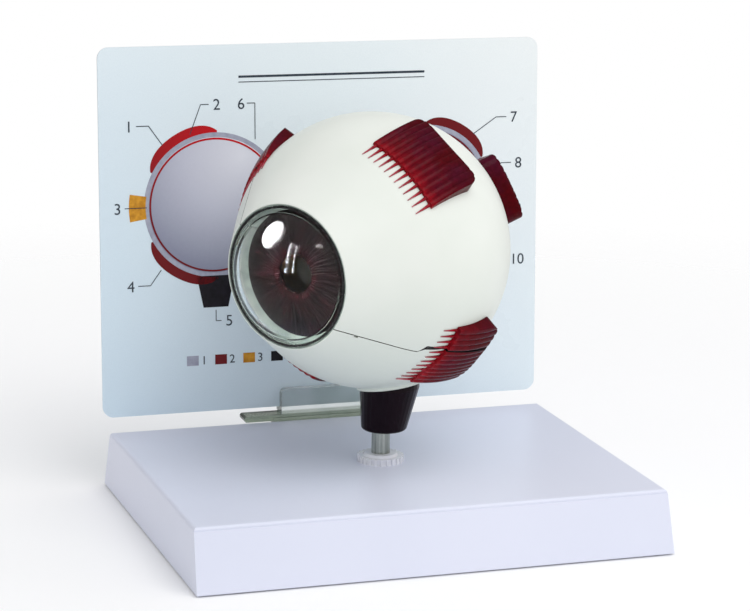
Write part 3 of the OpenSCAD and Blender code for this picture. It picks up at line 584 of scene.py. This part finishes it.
def card_print():
    globe = Print("print_globe", print_globe("print_lavender", (52, 92), "E4E5EE", "C3C5D3", "8C8FA3"), 0)
    wall = Print("print_wall", print_ink("print_wall_ink", "A9ACBC", "999CAE"), 1)
    red = Print("print_straps", print_globe("print_red", (46, 100), "C8141E", "A80C18", "6E0812"), 2)
    amber = Print("print_amber", print_ink("print_amber_ink", "D79A2C", "B87A1C"), 2)
    dark = Print("print_dark", print_ink("print_dark_ink", "1A1620", "0E0B12"), 2)
    ink = Print("print_ink", print_ink("print_line_ink", "3C4652", "2A323C"), 3)
    # two round diagrams, the right one turned round: middle, radius, and the side that the pupil is on
    for u, v, r, flip in ((42, 75, 26, 1), (122, 77, 24, -1)):
        turned = 0 if flip > 0 else -180
        globe.disc(u, v, r)
        globe.disc(u + flip * (r - 4), v, 9.5)
        wall.arc(u, v, r - 1.6, r, 28 + turned, 332 + turned, 96)
        red.arc(u, v, r - 2.6, r - 1.9, 30 + turned, 330 + turned, 96)
        red.arc(u, v, r, r + 3.4, 90 - flip * 2, 90 + flip * 62, taper=0.8)
        red.arc(u, v, r, r + 3.4, 270 + flip * 2, 270 - flip * 62, taper=0.8)
        amber.disc(u + flip * (r - 8), v, 3.2, 6.6, 48)
        amber.arc(u, v, r - 0.6, r + 5.5, 171 + turned, 189 + turned, 8)
        dark.shape([(u - 7, v - r + 0.5), (u - 4.6, v - r - 11), (u + 4.6, v - r - 11), (u + 7, v - r + 0.5)])
        dark.arc(u + flip * (r - 5.5), v, 0.1, 1.2, 0, 360, 24)
    # number, leader line and where the number stands
    for n, points, at in (
        (1, [(13.5, 104), (18, 104), (23, 97)], (9.5, 102)),
        (2, [(40, 111), (37, 111), (33, 100.5)], (41.5, 109)),
        (3, [(9, 75), (14, 75), (17, 75)], (5, 73)),
        (4, [(13.5, 47), (18, 47), (22, 52.5)], (9.5, 45)),
        (5, [(44, 33), (42, 33), (42, 37)], (45.5, 31)),
        (6, [(54, 111), (57, 111), (57, 98)], (50.5, 109)),
        (7, [(153, 103), (149, 103), (140, 97)], (154.5, 101)),
        (8, [(155, 86), (151, 86), (147, 80)], (156.5, 84)),
        (9, [(155, 69), (151, 69), (146, 74)], (156.5, 67)),
        (10, [(154, 50), (150, 50), (143, 57)], (155, 48)),
    ):
        ink.line(points)
        ink.number(str(n), at[0], at[1], 5.6)
    # double rule at the top, colour key at the foot
    ink.line([(51, 120.5), (121, 120.5)], 0.8)
    ink.line([(51, 118.6), (121, 118.6)], 0.3)
    for i, ink_of in enumerate((wall, red, amber, dark)):
        u = 31 + i * 10.5
        ink_of.shape([(u, 17), (u + 4.4, 17), (u + 4.4, 20.6), (u, 20.6)])
        ink.number(str(i + 1), u + 5.3, 17.3, 4.4)
    for piece in (globe, wall, red, amber, dark, ink):
        piece.done()


card_print()


# ---------------------------------------------------------------- stage, light and camera
def floor():
    """White paper that ends softly, far outside the shadow."""
    bm = bmesh.new()
    grid = bmesh.ops.create_grid(bm, x_segments=12, y_segments=12, size=3.0)["verts"]
    for v in grid:
        v.co.z = -0.2 * MM
    mesh = bpy.data.meshes.new("floor")
    bm.to_mesh(mesh)
    bm.free()
    obj = bpy.data.objects.new("floor", mesh)
    bpy.context.collection.objects.link(obj)
    m = Nodes("floor_paper", rough=0.9, Specular_IOR_Level=0.0)
    m.colour(m.ramp(m.noise(3, 2), [(0.3, (0.955, 0.955, 0.96, 1)), (0.7, (0.97, 0.97, 0.975, 1))]))
    away = m.vector("LENGTH", m.place)
    m.put(m.shader.inputs["Alpha"], m.range(away, 0.55, 0.2))
    mesh.materials.append(m.mat)


def area_light(name, at, target, size, power, size_y=None, round_one=False):
    data = bpy.data.lights.new(name, "AREA")
    data.shape = "ELLIPSE" if round_one else "RECTANGLE"
    data.size = size
    data.size_y = size_y or size
    data.energy = power
    obj = bpy.data.objects.new(name, data)
    bpy.context.collection.objects.link(obj)
    obj.location = at
    obj.rotation_euler = (Vector(target) - Vector(at)).to_track_quat("-Z", "Y").to_euler()
    return obj


SHINE_AWAY = 1.2
# the reflections below are meant for the cornea alone
cornea_only = bpy.data.collections.new("cornea_only")
cornea_only.objects.link(nodes["cornea"])


def shine(name, azimuth, elevation, width, height, radiance, round_one=False):
    """A studio light that only shows as a reflection in the cornea."""
    a, e = math.radians(azimuth), math.radians(elevation)
    at = CENTRE + SHINE_AWAY * Vector((math.cos(e) * math.cos(a), math.cos(e) * math.sin(a), math.sin(e)))
    area = width * height * (math.pi / 4 if round_one else 1)
    obj = area_light(name, at, CENTRE, width, radiance * math.pi * area, height, round_one)
    obj.visible_diffuse = False
    obj.light_linking.receiver_collection = cornea_only


def world():
    """Soft surroundings, brighter to the right and dimmer in reflections; the camera sees white."""
    w = bpy.data.worlds.new("studio")
    bpy.context.scene.world = w
    w.use_nodes = True
    t = w.node_tree
    soft = t.nodes["Background"]
    soft.inputs["Strength"].default_value = 1.0
    coord = t.nodes.new("ShaderNodeTexCoord")
    split = t.nodes.new("ShaderNodeSeparateXYZ")
    t.links.new(coord.outputs["Generated"], split.inputs[0])
    remap = t.nodes.new("ShaderNodeMapRange")
    remap.inputs["From Min"].default_value = -1
    t.links.new(split.outputs[0], remap.inputs["Value"])
    ramp = t.nodes.new("ShaderNodeValToRGB")
    for element, (at, v) in zip(ramp.color_ramp.elements, ((0.05, 0.6), (0.9, 0.9))):
        element.position = at
        element.color = (v, v, v * 1.01, 1)
    t.links.new(remap.outputs[0], ramp.inputs[0])
    t.links.new(ramp.outputs[0], soft.inputs["Color"])
    white = t.nodes.new("ShaderNodeBackground")
    white.inputs["Color"].default_value = (1, 1, 1, 1)
    path = t.nodes.new("ShaderNodeLightPath")
    seen = t.nodes.new("ShaderNodeMath")
    seen.operation = "MAXIMUM"
    t.links.new(path.outputs["Is Camera Ray"], seen.inputs[0])
    t.links.new(path.outputs["Is Transmission Ray"], seen.inputs[1])
    mix = t.nodes.new("ShaderNodeMixShader")
    t.links.new(seen.outputs[0], mix.inputs[0])
    dim = t.nodes.new("ShaderNodeBackground")
    dim.inputs["Strength"].default_value = 0.4
    t.links.new(ramp.outputs[0], dim.inputs["Color"])
    gloss = t.nodes.new("ShaderNodeMixShader")
    t.links.new(path.outputs["Is Glossy Ray"], gloss.inputs[0])
    t.links.new(soft.outputs[0], gloss.inputs[1])
    t.links.new(dim.outputs[0], gloss.inputs[2])
    t.links.new(gloss.outputs[0], mix.inputs[1])
    t.links.new(white.outputs[0], mix.inputs[2])
    t.links.new(mix.outputs[0], t.nodes["World Output"].inputs["Surface"])


def camera():
    """The pinhole camera that was fitted to the photo's edges of base, card and rod."""
    data = bpy.data.cameras.new("camera")
    cam = bpy.data.objects.new("camera", data)
    bpy.context.collection.objects.link(cam)
    right = Vector((0.9485395, -0.3161784, 0.0174383))
    up = Vector((0.0540637, 0.2159609, 0.9749041))
    ahead = Vector((0.3120096, 0.9237923, -0.2219412))
    m = Matrix((right, up, -ahead)).transposed().to_4x4()
    m.translation = Vector((-0.2927616, -0.8580945, 0.2820877))
    cam.matrix_world = m
    data.sensor_width = 36
    data.lens = 130.74
    data.clip_start, data.clip_end = 0.05, 50
    bpy.context.scene.camera = cam


floor()
world()
area_light("top", (0.30, -0.70, 1.30), (0, 0, 0.08), 1.1, 8)
area_light("front", (-0.35, -1.5, 0.65), (0, 0, 0.08), 1.2, 1.1)
shine("window", 168, 32, 0.56, 0.62, 120, round_one=True)
shine("strip_left", -154, 16, 0.04, 0.78, 170)
shine("strip_right", -145, 17, 0.03, 0.76, 170)
shine("strip_rim", -80, 14, 0.05, 0.60, 80)
shine("spark", -113, 36, 0.16, 0.07, 60)
camera()
bpy.context.scene.view_settings.view_transform = "Standard"
